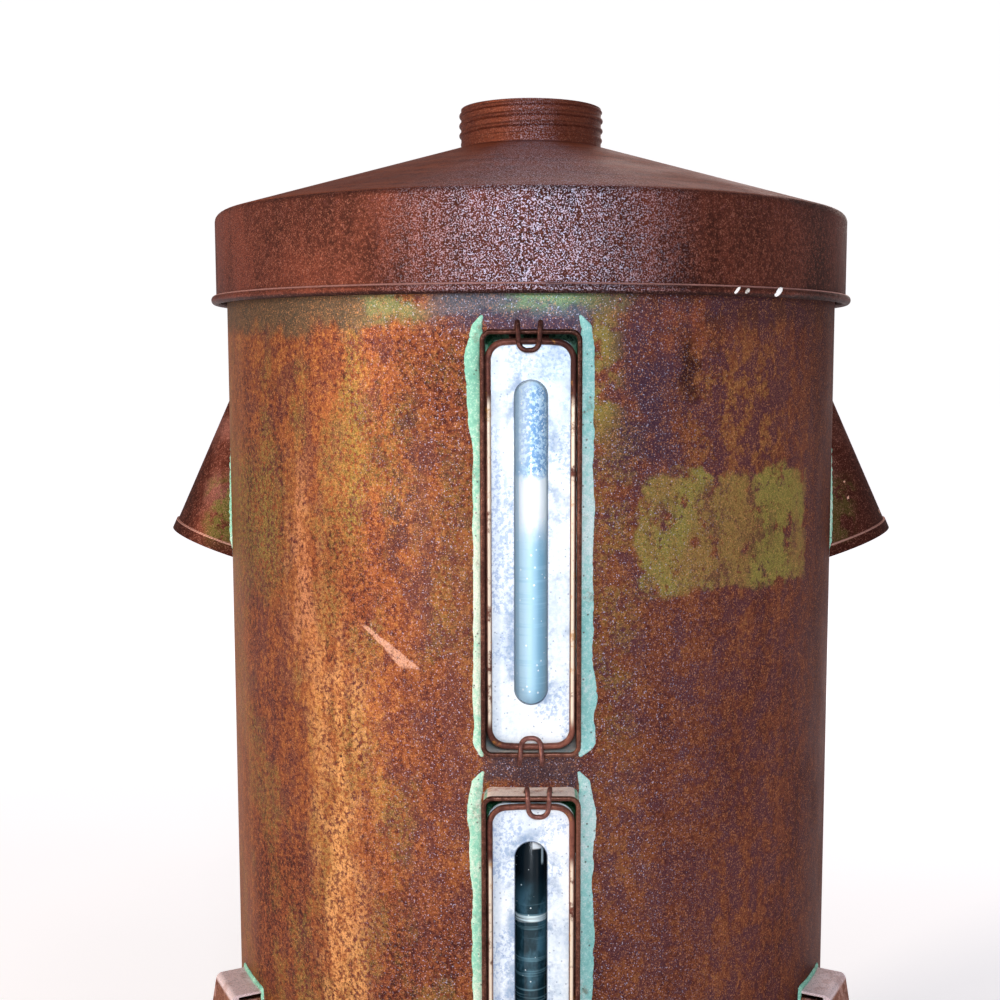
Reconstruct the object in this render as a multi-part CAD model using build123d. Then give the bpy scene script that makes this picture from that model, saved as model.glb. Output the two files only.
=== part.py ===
from build123d import *
import os
from math import atan2, cos, radians, sin, tan

# Copper drinks urn: a round tank on three legs, with a slip-on lid, two gauge windows one
# above the other at the front, a hood over an air vent at each side, and a plug tap.
# The floor is z = 0, the tank's axis is the Z axis and the front faces -Y.

# ---- Tank ----
SHEET = 1.2                      # copper sheet of the tank, lid, pan, hoods and legs
BODY_R = 150.0                   # outside of the tank wall
BODY_BOTTOM_Z = 130.0
LID_RIM_Z = 560.0                # centre of the lid's wired edge
BEAD_Z = LID_RIM_Z + 35.6        # centre of the tank's wired top edge
BEAD_R = 2.4
BEAD_CENTRE_R = BODY_R + 0.2
WALL_TOP_Z = BEAD_Z - 1.7        # where the wall runs into its bead
WIRE_HOLE_R = 1.4                # room for the wire inside each rolled edge
EDGE_WIRE_R = 1.38
PAN_Z = 143.2                    # top face of the tank's floor
PAN_FLANGE = 12.0
SEAM_AZIMUTH = 135.0             # lock seam of the tank wall, measured from the front
SEAM_W = 10.0
SEAM_STOP = 8.0                  # the seam ends this far below the wall's top

# ---- Lid ----
LID_R = 155.0
LID_ROLL_R = 2.2
LID_ROLL_CENTRE_R = 155.2
CREASE_Z = LID_RIM_Z + 39.75     # where the skirt turns into the cone
SHOULDER_R = 4.0
SKIRT_BOTTOM_Z = LID_RIM_Z + 1.6  # where the skirt runs into its roll
NECK_Z = LID_RIM_Z + 75.6        # where the cone meets the neck
NECK_TOP_Z = LID_RIM_Z + 95.0
NECK_ROOT_R = 34.8
NECK_BORE_R = 33.2
THREAD_PITCH = 4.8
THREAD_TURNS = 3
THREAD_R = 1.7                   # round section of a thread ridge
THREAD_CENTRE_R = NECK_ROOT_R - 0.6
THREAD_DOWN = 2.6                # top ridge below the neck's top
NECK_TAIL = 4.0                  # neck below the cone, where it is soldered

# ---- Gauge windows ----
WINDOW_TOPS = {"upper": LID_RIM_Z - 16.4, "lower": LID_RIM_Z - 203.2}
WINDOW_H = 170.7                 # over the rim wire
WINDOW_W = 40.2
RIM_WIRE_R = 1.0
RIM_WIRE_Y = -163.0
TRAY_SHEET = 1.0
TRAY_BACK_Y = -136.5
TRAY_CORNER_R = 4.0
PLATE_T = 1.2
PLATE_FRONT_Y = -160.6
PLATE_LAP = 0.5                  # of the plate's edge, inside the frame wire's outside
REST_W = 3.2                     # angle strips that the plate lies against
REST_T = 1.0
REST_WEB_T = 0.8
REST_WEB_DEPTH = 7.0
REST_L = WINDOW_H - 50.0
SLOT_W = 13.0
SLOT_H = 129.8
SLOT_RISE = 0.6                  # slot centre above the window's centre
FRAME_WIRE_R = 1.25
FRAME_W = 36.0                   # over the wire
FRAME_H = 164.6
FRAME_DROP = 0.2
FRAME_BOW = 1.0
FRAME_CORNER_R = 7.0
TUBE_Y = -150.8
TUBE_R = 6.8
TUBE_BORE_R = 5.2
SLEEVE_R = 7.5                   # rubber sleeve between tube and socket
SOCKET_R = 8.3
SOCKET_MOUTH = 18.1              # socket mouth below the window's top
SOCKET_H = 11.5
SOCKET_BORE_H = 6.5
STUB_R = 4.5
STUB_UP = 6.3                    # stub's centre above the socket's mouth
STUB_END_Y = -126.0
STUB_WALL = 1.5
STUB_WASHER_R = 7.5
STUB_WASHER_T = 1.2
STUB_NUT_W = 14.0
STUB_NUT_T = 5.0
SLEEVE_LIP = 1.2                 # sleeve outside the socket's mouth
SLEEVE_SHORT = 0.5               # sleeve and tube stop short of the socket's end
CLIP_R = 1.0
CLIP_HALF = 4.7                  # half the spread of the hairpin's legs at the wall
CLIP_PIVOT_Y = -155.5
CLIP_LEAN = 50.0                 # degrees from upright where it passes the wall
CLIP_HOOK = 3.0                  # leg inside the wall
CLIP_FOOT = 3.2                  # bent outwards at the hook's end
CLIP_RISE = 4.4                  # leg outside the wall
CLIP_SLOT_PLAY = 0.7             # of the slots in the wall, over the wire
CLIP_X = {"upper_top": -0.8, "upper_bottom": 0.0, "lower_top": 3.0, "lower_bottom": 0.0}

# ---- Hoods ----
HOOD_APEX_R = 148.0              # the cone's tip, just inside the tank wall
HOOD_APEX_Z = LID_RIM_Z - 37.0
HOOD_LIP_R = 182.0               # lowest point of the lip, furthest out
HOOD_LIP_Z = LID_RIM_Z - 113.0
HOOD_ROOT_Z = LID_RIM_Z - 124.5  # where the lip meets the wall
HOOD_HALF_W = 33.0               # half the hood's width there
HEM_H = 5.0
HEM_PROUD = 0.9
HOOD_TIP_DROP = 1.0              # the cone starts this far below its tip
VENT_R = 9.0
VENT_Z = LID_RIM_Z - 92.0

# ---- Legs ----
LEG_AZIMUTHS = {"left": -63.0, "right": 63.0, "rear": 180.0}
LEG_W = 28.5
LEG_TOP_Z = LID_RIM_Z - 323.8
LEG_TOP_R = 163.5                # outer face at the top
LEG_FLARE = 10.0                 # degrees from upright
LEG_BEND_R = 3.0
LEG_SLIT = 2.2                   # slit between the folded top and each side wall
LEG_DEPTH_FOOT = 16.0
LEG_KNEE_Z = BODY_BOTTOM_Z - 4.0  # the side walls leave the tank here
LEG_SINK = 3.0                   # blank's overlap with the tank, cut off by its wall
FOOT_T = 3.0
FOOT_W = 32.0
FOOT_L = 22.0
FOOT_CORNER_R = 3.0

# ---- Tap ----
TAP_Z = 158.0
TAP_SHANK_R = 8.0
TAP_SHANK_IN = 14.0              # shank inside the tank
TAP_FLANGE_R = 17.0
TAP_FLANGE_T = 4.0
TAP_BARREL_R = 10.0
TAP_PLUG_Y = -177.0
TAP_BOSS_R = 12.5
TAP_BOSS_BOTTOM_Z = TAP_Z - 16.0
TAP_BOSS_TOP_Z = TAP_Z + 13.0
PLUG_TOP_R = 8.0
PLUG_BOTTOM_R = 6.5
PLUG_CLEAR = 0.05
WATERWAY_R = 4.5
SPOUT_R = 7.5
SPOUT_BEND_R = 17.0
SPOUT_END_Z = 124.0
TAP_WASHER_T = 2.5
TAP_NUT_Y = 144.5                # distance of the inside nut's face from the tank's axis
TAP_NUT_W = 20.0
TAP_NUT_T = 6.0
TAP_INNER_WASHER_R = 12.0
TAP_GAP = 0.5                    # between the boss and the pieces that turn with the plug
TANG = 7.0
TAIL_R = 3.5
TAIL_L = 8.0
PLUG_WASHER_R = 7.5
PLUG_WASHER_T = 1.4
PLUG_NUT_W = 12.0
PLUG_NUT_T = 5.0
SCREW_R = 1.75
SCREW_L = 5.0                    # screw in the plug
SCREW_HEAD_R = 5.5
SCREW_HEAD_T = 2.6
SCREW_SLOT_W = 1.2
LEVER_L = 38.0
LEVER_T = 5.0                    # hub
LEVER_ARM_T = 3.0
LEVER_HUB_R = 7.0
LEVER_NECK = 4.0                 # half the arm's width at the hub
LEVER_TIP_R = 5.5

BODY_INNER_R = BODY_R - SHEET
WINDOW_MIDS = {name: top - WINDOW_H / 2 for name, top in WINDOW_TOPS.items()}
TRAY_W = WINDOW_W - 2 * RIM_WIRE_R + TRAY_SHEET
TRAY_H = WINDOW_H - 2 * RIM_WIRE_R + TRAY_SHEET
TRAY_FRONT_Y = RIM_WIRE_Y + RIM_WIRE_R
FOOT_REACH = LEG_TOP_R + LEG_TOP_Z * tan(radians(LEG_FLARE))
SPOUT_Y = -(FOOT_REACH - SPOUT_R)

CUT = 30.0                       # a cut runs at least this far past what it cuts
UP = (Align.CENTER, Align.CENTER, Align.MIN)
parts = {}


def front_plane(y, z, x=0.0):
    """A plane facing the front, with its own Y pointing up."""
    return Plane(origin=(x, y, z), x_dir=(1, 0, 0), z_dir=(0, -1, 0))


def ring(outer_r, inner_r, bottom_z, top_z):
    """An upright tube round the Z axis."""
    height = top_z - bottom_z
    tube = Cylinder(outer_r, height, align=UP) - Cylinder(inner_r, height, align=UP)
    return Pos(0, 0, bottom_z) * tube


def rod(radius, start, end):
    """A round bar from one point to another."""
    start, end = Vector(*start), Vector(*end)
    plane = Plane(origin=start, z_dir=(end - start).normalized())
    return plane * Cylinder(radius, (end - start).length, align=UP)


def swept_wire(path, radius):
    """A round wire along a path."""
    start = path.edges()[0]
    section = Plane(origin=start @ 0, z_dir=start % 0) * Circle(radius)
    return sweep(section, path=path)


# ---- Tank pieces ----

def make_shell():
    shell = ring(BODY_R, BODY_INNER_R, BODY_BOTTOM_Z, WALL_TOP_Z)
    shell += Pos(0, 0, BEAD_Z) * Torus(BEAD_CENTRE_R, BEAD_R)
    shell -= Pos(0, 0, BEAD_Z) * Torus(BEAD_CENTRE_R, WIRE_HOLE_R)
    seam = ring(BODY_R + SHEET, BODY_R - SHEET / 2, BODY_BOTTOM_Z, WALL_TOP_Z - SEAM_STOP)
    strip = Box(SEAM_W, 2 * BODY_R, 2 * BEAD_Z, align=(Align.CENTER, Align.MAX, Align.CENTER))
    shell += seam & (Rot(0, 0, SEAM_AZIMUTH) * strip)
    for mid in WINDOW_MIDS.values():
        opening = RectangleRounded(TRAY_W, TRAY_H, TRAY_CORNER_R)
        shell -= extrude(front_plane(TRAY_BACK_Y, mid) * opening, amount=CUT)
    shell -= rod(VENT_R, (-BODY_R - CUT, 0, VENT_Z), (-BODY_R + CUT, 0, VENT_Z))
    shell -= rod(VENT_R, (BODY_R - CUT, 0, VENT_Z), (BODY_R + CUT, 0, VENT_Z))
    shell -= rod(TAP_SHANK_R, (0, -BODY_R - CUT, TAP_Z), (0, -BODY_R + CUT, TAP_Z))
    return shell


def make_base_pan():
    disc = Cylinder(BODY_INNER_R, PAN_FLANGE, align=UP)
    disc -= Cylinder(BODY_INNER_R - SHEET, PAN_FLANGE - SHEET, align=UP)
    return Pos(0, 0, PAN_Z - PAN_FLANGE) * disc


# ---- Lid pieces ----

def make_lid_shell():
    cone_run = LID_R - NECK_ROOT_R
    slope = (NECK_Z - CREASE_Z) / cone_run
    under = SHEET * (1 + slope ** 2) ** 0.5
    inner_r = LID_R - SHEET
    outline = Polyline(
        (LID_R, 0, SKIRT_BOTTOM_Z),
        (LID_R, 0, CREASE_Z),
        (NECK_ROOT_R, 0, NECK_Z),
        (NECK_ROOT_R, 0, NECK_Z - under),
        (inner_r, 0, CREASE_Z + slope * SHEET - under),
        (inner_r, 0, SKIRT_BOTTOM_Z),
        close=True,
    )
    profile = make_face(outline)
    outer_corner = profile.vertices().sort_by_distance(Vertex(LID_R, 0, CREASE_Z))[0]
    profile = fillet([outer_corner], SHOULDER_R)
    inner_corner = profile.vertices().sort_by_distance(Vertex(inner_r, 0, CREASE_Z))[0]
    profile = fillet([inner_corner], SHOULDER_R - SHEET)
    shell = revolve(profile, axis=Axis.Z)
    shell += Pos(0, 0, LID_RIM_Z) * Torus(LID_ROLL_CENTRE_R, LID_ROLL_R)
    shell -= Pos(0, 0, LID_RIM_Z) * Torus(LID_ROLL_CENTRE_R, WIRE_HOLE_R)
    return shell


def make_lid_neck():
    neck = ring(NECK_ROOT_R, NECK_BORE_R, NECK_Z - NECK_TAIL, NECK_TOP_Z)
    for turn in range(THREAD_TURNS):
        ridge_z = NECK_TOP_Z - THREAD_DOWN - turn * THREAD_PITCH
        neck += Pos(0, 0, ridge_z) * Torus(THREAD_CENTRE_R, THREAD_R)
    return neck - Pos(0, 0, NECK_Z - CUT) * Cylinder(NECK_BORE_R, 3 * CUT, align=UP)


# ---- Gauge window pieces ----

def make_tray(mid):
    depth = TRAY_BACK_Y - TRAY_FRONT_Y
    outer = RectangleRounded(TRAY_W, TRAY_H, TRAY_CORNER_R)
    inner = RectangleRounded(TRAY_W - 2 * TRAY_SHEET, TRAY_H - 2 * TRAY_SHEET,
                             TRAY_CORNER_R - TRAY_SHEET)
    tray = extrude(front_plane(TRAY_BACK_Y, mid) * outer, amount=depth)
    tray -= extrude(front_plane(TRAY_BACK_Y - TRAY_SHEET, mid) * inner, amount=depth)
    return tray


def cut_tray_holes(tray, name, mid):
    """The clips' slots in the end walls, and the holes for the gauge stubs in the back."""
    lean = radians(CLIP_LEAN)
    slot_l = 2 * (CLIP_R / cos(lean) + tan(lean) * TRAY_SHEET / 2) + CLIP_SLOT_PLAY
    slot_w = 2 * CLIP_R + CLIP_SLOT_PLAY
    for end, side in (("top", 1), ("bottom", -1)):
        wall_z = mid + side * (TRAY_H - TRAY_SHEET) / 2
        for leg in (-CLIP_HALF, CLIP_HALF):
            slot = Rot(0, 0, 90) * SlotOverall(slot_l, slot_w)
            cutter = extrude(slot, amount=2 * TRAY_SHEET, both=True)
            tray -= Pos(CLIP_X[name + "_" + end] + leg, CLIP_PIVOT_Y, wall_z) * cutter
        stub_z = socket_z(mid, side, STUB_UP)
        tray -= rod(STUB_R, (0, TRAY_BACK_Y - STUB_NUT_T, stub_z), (0, TRAY_BACK_Y + STUB_NUT_T, stub_z))
    return tray


def socket_z(mid, side, up):
    """Height of a point `up` from a socket's mouth, towards the window's end."""
    return mid + side * (WINDOW_H / 2 - SOCKET_MOUTH + up)


def make_rim_wire(mid):
    outline = RectangleRounded(WINDOW_W - 2 * RIM_WIRE_R, WINDOW_H - 2 * RIM_WIRE_R,
                               TRAY_CORNER_R - TRAY_SHEET / 2)
    path = (front_plane(RIM_WIRE_Y, mid) * outline).wires()[0]
    return swept_wire(path, RIM_WIRE_R)


def make_cover_plate(mid):
    """A slotted plate, as large as the wire frame that lies on it."""
    plate = RectangleRounded(FRAME_W - 2 * PLATE_LAP, FRAME_H - 2 * PLATE_LAP, FRAME_CORNER_R)
    plate -= Pos(0, SLOT_RISE + FRAME_DROP) * (Rot(0, 0, 90) * SlotOverall(SLOT_H, SLOT_W))
    return extrude(front_plane(PLATE_FRONT_Y + PLATE_T, mid - FRAME_DROP) * plate, amount=PLATE_T)


def make_plate_rests(mid):
    """Two angle strips soldered to the tray's sides, which the plate lies against."""
    wall_x = TRAY_W / 2 - TRAY_SHEET
    back = PLATE_FRONT_Y + PLATE_T
    strips = []
    for side in (-1, 1):
        flange_x = side * (wall_x - REST_W / 2)
        web_x = side * (wall_x - REST_WEB_T / 2)
        flange = Pos(flange_x, back + REST_T / 2, mid) * Box(REST_W, REST_T, REST_L)
        web = Pos(web_x, back + REST_WEB_DEPTH / 2, mid) * Box(REST_WEB_T, REST_WEB_DEPTH, REST_L)
        strips.append(flange + web)
    return strips


def make_wire_frame(mid):
    half_w = FRAME_W / 2 - FRAME_WIRE_R
    half_h = FRAME_H / 2 - FRAME_WIRE_R
    side_h = half_h - FRAME_BOW
    outline = Wire([
        Line((half_w, -side_h), (half_w, side_h)),
        ThreePointArc((half_w, side_h), (0, half_h), (-half_w, side_h)),
        Line((-half_w, side_h), (-half_w, -side_h)),
        ThreePointArc((-half_w, -side_h), (0, -half_h), (half_w, -side_h)),
    ])
    face = make_face(outline)
    face = fillet(face.vertices(), FRAME_CORNER_R)
    plane = front_plane(PLATE_FRONT_Y - FRAME_WIRE_R, mid - FRAME_DROP)
    return swept_wire((plane * face).wires()[0], FRAME_WIRE_R)


def make_clip(name, end, mid):
    """A hairpin of spring wire, hooked into the tray's end wall and over its rim."""
    side = 1 if end == "top" else -1
    wall_z = mid + side * (TRAY_H - TRAY_SHEET) / 2
    lean = radians(CLIP_LEAN)
    reach = RIM_WIRE_Y - CLIP_PIVOT_Y
    hook_y = CLIP_HOOK * sin(lean)
    hook_z = -CLIP_HOOK * cos(lean)
    # from the foot inside the wall, over the rim wire, to the bow that presses on the frame
    outline = [
        (CLIP_HALF + CLIP_FOOT, hook_y, hook_z),
        (CLIP_HALF, hook_y, hook_z),
        (CLIP_HALF, -CLIP_RISE * sin(lean), CLIP_RISE * cos(lean)),
        (CLIP_HALF - 0.2, reach - 1.2, 4.0),
        (CLIP_HALF - 0.4, reach - 3.5, 0.6),
        (CLIP_HALF - 0.7, reach - 1.5, -4.0),
        (CLIP_HALF - 1.1, reach - 1.5, -7.2),
    ]
    route = outline + [(-x, y, z) for x, y, z in reversed(outline)]
    centre_x = CLIP_X[name + "_" + end]
    points = [(centre_x + x, CLIP_PIVOT_Y + y, wall_z + side * z) for x, y, z in route]
    radii = [1.4, 2.0, 2.0, 2.0, 3.0, 3.4]
    path = FilletPolyline(*points, radius=radii + radii[::-1])
    return swept_wire(path, CLIP_R)


def make_gauge_tube(mid):
    length = WINDOW_H - 2 * SOCKET_MOUTH + 2 * (SOCKET_BORE_H - SLEEVE_SHORT)
    tube = Cylinder(TUBE_R, length) - Cylinder(TUBE_BORE_R, length)
    return Pos(0, TUBE_Y, mid) * tube


def make_socket(mid, side):
    """An elbow: the tube's socket, and a stub through the tray's back into the tank."""
    def level(up):
        return (0, TUBE_Y, socket_z(mid, side, up))

    stub_z = socket_z(mid, side, STUB_UP)
    socket = rod(SOCKET_R, level(0), level(SOCKET_H))
    socket += rod(STUB_R, (0, TUBE_Y, stub_z), (0, STUB_END_Y, stub_z))
    socket -= rod(SLEEVE_R, level(-1), level(SOCKET_BORE_H))
    socket -= rod(TUBE_BORE_R, level(0), level(SOCKET_H - STUB_WALL))
    socket -= rod(STUB_R - STUB_WALL, (0, TUBE_Y, stub_z), (0, STUB_END_Y + 1, stub_z))
    return socket


def make_sleeves(mid):
    """The two rubber sleeves that seal the tube in its sockets."""
    sleeves = []
    for side in (1, -1):
        def level(up):
            return (0, TUBE_Y, socket_z(mid, side, up))

        lip = rod(SOCKET_R, level(-SLEEVE_LIP), level(0))
        body = rod(SLEEVE_R, level(0), level(SOCKET_BORE_H - SLEEVE_SHORT))
        bore = rod(TUBE_R, level(-2 * SLEEVE_LIP), level(SOCKET_H))
        sleeves.append(lip + body - bore)
    return sleeves


def make_stub_washers(mid):
    washers = []
    for side in (1, -1):
        z = socket_z(mid, side, STUB_UP)
        disc = rod(STUB_WASHER_R, (0, TRAY_BACK_Y, z), (0, TRAY_BACK_Y + STUB_WASHER_T, z))
        washers.append(disc - rod(STUB_R, (0, TRAY_BACK_Y - 1, z), (0, STUB_END_Y, z)))
    return washers


def hex_nut(across_flats, bore_r, start, end):
    """A plain nut from one point to another."""
    start, end = Vector(*start), Vector(*end)
    plane = Plane(origin=start, x_dir=(1, 0, 0), z_dir=(end - start).normalized())
    height = (end - start).length
    prism = extrude(RegularPolygon(across_flats / 2, 6, major_radius=False), amount=height)
    return plane * (prism - Cylinder(bore_r, height, align=UP))


def make_stub_nuts(mid):
    front = TRAY_BACK_Y + STUB_WASHER_T
    nuts = []
    for side in (1, -1):
        z = socket_z(mid, side, STUB_UP)
        nuts.append(hex_nut(STUB_NUT_W, STUB_R, (0, front, z), (0, front + STUB_NUT_T, z)))
    return nuts


# ---- Hoods ----

def hood_cone(grow):
    """A leaning elliptical cone over the right-hand vent, `grow` larger than the hood."""
    out_slope = (HOOD_LIP_R - HOOD_APEX_R) / (HOOD_APEX_Z - HOOD_LIP_Z)
    side_slope = HOOD_HALF_W / (HOOD_APEX_Z - HOOD_ROOT_Z)
    start = max(HOOD_TIP_DROP, HOOD_TIP_DROP - 4 * grow)
    sections = []
    for drop in (start, 1.4 * (HOOD_APEX_Z - HOOD_ROOT_Z)):
        plane = Plane(origin=(HOOD_APEX_R, 0, HOOD_APEX_Z - drop))
        sections.append(plane * Ellipse(out_slope * drop + grow, side_slope * drop + grow))
    return loft(sections)


def below_lip(raised):
    """Everything below the plane of the hood's lip, raised by a distance along its normal."""
    root_r = BODY_R - 4.0
    tilt = atan2(HOOD_LIP_Z - HOOD_ROOT_Z, HOOD_LIP_R - root_r)
    plane = Plane(origin=(root_r, 0, HOOD_ROOT_Z), z_dir=(-sin(tilt), 0, cos(tilt)))
    return plane * (Pos(0, 0, raised) * Box(400, 400, 200, align=(Align.CENTER, Align.CENTER, Align.MAX)))


def make_hood(side):
    inside = hood_cone(-SHEET) + Cylinder(BODY_R, 2 * LID_RIM_Z)
    shell = hood_cone(0) - below_lip(0)
    hem = (hood_cone(HEM_PROUD) & below_lip(HEM_H)) - below_lip(0)
    hood = shell + hem - inside
    return hood if side == "right" else mirror(hood, about=Plane.YZ)


# ---- Legs ----

def make_leg(azimuth):
    """A flared sheet channel, open towards the tank, with its top folded over."""
    toe_r = FOOT_REACH - FOOT_T * tan(radians(LEG_FLARE))
    outline = make_face(Polyline(
        (0, -BODY_R + LEG_SINK, LEG_TOP_Z),
        (0, -LEG_TOP_R, LEG_TOP_Z),
        (0, -toe_r, FOOT_T),
        (0, -toe_r + LEG_DEPTH_FOOT, FOOT_T),
        (0, -BODY_R + LEG_SINK, LEG_KNEE_Z),
        close=True,
    ))
    leg = extrude(outline, amount=LEG_W / 2, dir=(1, 0, 0), both=True)
    top_edge = leg.edges().filter_by(Axis.X).sort_by(Axis.Z)[-2:].sort_by(Axis.Y)[0]
    leg = fillet(top_edge, LEG_BEND_R)
    face_t = SHEET / cos(radians(LEG_FLARE))
    hollow = make_face(Polyline(
        (0, -BODY_R + 2 * CUT, LEG_TOP_Z - SHEET),
        (0, -LEG_TOP_R + face_t, LEG_TOP_Z - SHEET),
        (0, -FOOT_REACH + face_t, 0),
        (0, -BODY_R + 2 * CUT, 0),
        close=True,
    ))
    channel = extrude(hollow, amount=LEG_W / 2 - SHEET, dir=(1, 0, 0), both=True)
    leg -= channel
    leg -= Cylinder(BODY_R, 2 * (LEG_TOP_Z + CUT))
    slit_top = LEG_TOP_Z - SHEET
    slit = Box(LEG_W + 2, LEG_TOP_R - LEG_BEND_R - BODY_R + 2 * LEG_SINK, LEG_SLIT,
               align=(Align.CENTER, Align.MIN, Align.MAX))
    leg -= Pos(0, -LEG_TOP_R + LEG_BEND_R, slit_top) * slit
    return Rot(0, 0, azimuth) * leg


def make_foot(azimuth):
    plate = extrude(RectangleRounded(FOOT_W, FOOT_L, FOOT_CORNER_R), amount=FOOT_T)
    return Rot(0, 0, azimuth) * (Pos(0, -FOOT_REACH + FOOT_L / 2, 0) * plate)


# ---- Tap pieces ----

def plug_cone(clearance, bottom_z, top_z):
    """The tapered plug, or its seat, between two heights."""
    slope = (PLUG_TOP_R - PLUG_BOTTOM_R) / (TAP_BOSS_TOP_Z - TAP_BOSS_BOTTOM_Z)
    bottom_r = PLUG_BOTTOM_R + slope * (bottom_z - TAP_BOSS_BOTTOM_Z) - clearance
    top_r = PLUG_BOTTOM_R + slope * (top_z - TAP_BOSS_BOTTOM_Z) - clearance
    return Pos(0, TAP_PLUG_Y, bottom_z) * Cone(bottom_r, top_r, top_z - bottom_z, align=UP)


def make_tap_body():
    flange_y = -BODY_R - TAP_WASHER_T
    shank_y = -BODY_R + TAP_SHANK_IN
    body = rod(TAP_SHANK_R, (0, shank_y, TAP_Z), (0, flange_y, TAP_Z))
    body += rod(TAP_FLANGE_R, (0, flange_y, TAP_Z), (0, flange_y - TAP_FLANGE_T, TAP_Z))
    body += rod(TAP_BARREL_R, (0, flange_y, TAP_Z), (0, TAP_PLUG_Y, TAP_Z))
    body += rod(TAP_BOSS_R, (0, TAP_PLUG_Y, TAP_BOSS_BOTTOM_Z), (0, TAP_PLUG_Y, TAP_BOSS_TOP_Z))
    path = FilletPolyline((0, TAP_PLUG_Y, TAP_Z), (0, SPOUT_Y, TAP_Z), (0, SPOUT_Y, SPOUT_END_Z),
                          radius=SPOUT_BEND_R)
    body += swept_wire(path, SPOUT_R)
    body -= rod(WATERWAY_R, (0, shank_y + 1, TAP_Z), (0, TAP_PLUG_Y, TAP_Z))
    body -= swept_wire(path, WATERWAY_R)
    body -= rod(WATERWAY_R, (0, SPOUT_Y, SPOUT_END_Z + 1), (0, SPOUT_Y, SPOUT_END_Z - 1))
    body -= plug_cone(0, TAP_BOSS_BOTTOM_Z - 1, TAP_BOSS_TOP_Z + 1)
    return body


def make_tap_plug():
    """The tapered plug, its square for the lever and its tail for the nut below."""
    plug = plug_cone(PLUG_CLEAR, TAP_BOSS_BOTTOM_Z, TAP_BOSS_TOP_Z)
    plug += Pos(0, TAP_PLUG_Y, TAP_BOSS_TOP_Z) * Box(TANG, TANG, LEVER_T + TAP_GAP, align=UP)
    plug += rod(TAIL_R, (0, TAP_PLUG_Y, TAP_BOSS_BOTTOM_Z), (0, TAP_PLUG_Y, TAP_BOSS_BOTTOM_Z - TAIL_L))
    plug -= rod(WATERWAY_R, (-CUT, TAP_PLUG_Y, TAP_Z), (CUT, TAP_PLUG_Y, TAP_Z))
    screw_end_z = TAP_BOSS_TOP_Z - SCREW_L
    plug -= rod(SCREW_R, (0, TAP_PLUG_Y, screw_end_z - 1), (0, TAP_PLUG_Y, screw_end_z + CUT))
    return plug


def make_tap_lever():
    """A flat lever that lies across the spout when the tap is shut."""
    bottom_z = TAP_BOSS_TOP_Z + TAP_GAP
    hub = Cylinder(LEVER_HUB_R, LEVER_T, align=UP)
    arm = make_face(Polyline((0, -LEVER_NECK), (LEVER_L, -LEVER_TIP_R), (LEVER_L, LEVER_TIP_R),
                             (0, LEVER_NECK), close=True))
    arm = extrude(arm, amount=LEVER_ARM_T)
    arm += Pos(LEVER_L, 0, 0) * Cylinder(LEVER_TIP_R, LEVER_ARM_T, align=UP)
    lever = hub + arm - Box(TANG, TANG, CUT)
    return Pos(0, TAP_PLUG_Y, bottom_z) * lever


def make_tap_screw():
    seat_z = TAP_BOSS_TOP_Z + TAP_GAP + LEVER_T
    top_z = seat_z + SCREW_HEAD_T
    head = rod(SCREW_HEAD_R, (0, TAP_PLUG_Y, seat_z), (0, TAP_PLUG_Y, top_z))
    head -= Pos(0, TAP_PLUG_Y, top_z) * Box(CUT, SCREW_SLOT_W, SCREW_HEAD_T)
    return head + rod(SCREW_R, (0, TAP_PLUG_Y, seat_z), (0, TAP_PLUG_Y, TAP_BOSS_TOP_Z - SCREW_L))


def make_plug_washer():
    top_z = TAP_BOSS_BOTTOM_Z - TAP_GAP
    disc = rod(PLUG_WASHER_R, (0, TAP_PLUG_Y, top_z), (0, TAP_PLUG_Y, top_z - PLUG_WASHER_T))
    return disc - rod(TAIL_R, (0, TAP_PLUG_Y, top_z + 1), (0, TAP_PLUG_Y, top_z - TAIL_L))


def make_plug_nut():
    top_z = TAP_BOSS_BOTTOM_Z - TAP_GAP - PLUG_WASHER_T
    return hex_nut(PLUG_NUT_W, TAIL_R, (0, TAP_PLUG_Y, top_z), (0, TAP_PLUG_Y, top_z - PLUG_NUT_T))


def make_tap_washer():
    """Fibre, hollowed to lie on the tank's round wall."""
    disc = rod(TAP_FLANGE_R, (0, -TAP_NUT_Y, TAP_Z), (0, -BODY_R - TAP_WASHER_T, TAP_Z))
    disc -= rod(TAP_SHANK_R, (0, -TAP_NUT_Y + 1, TAP_Z), (0, -BODY_R - CUT, TAP_Z))
    return disc - Cylinder(BODY_R, 2 * LID_RIM_Z)


def make_tap_inner_washer():
    disc = rod(TAP_INNER_WASHER_R, (0, -BODY_R, TAP_Z), (0, -TAP_NUT_Y, TAP_Z))
    disc -= rod(TAP_SHANK_R, (0, -BODY_R - 1, TAP_Z), (0, -TAP_NUT_Y + 1, TAP_Z))
    return disc & Cylinder(BODY_INNER_R, 2 * LID_RIM_Z)


def make_tap_nut():
    return hex_nut(TAP_NUT_W, TAP_SHANK_R, (0, -TAP_NUT_Y, TAP_Z), (0, -TAP_NUT_Y + TAP_NUT_T, TAP_Z))


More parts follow.
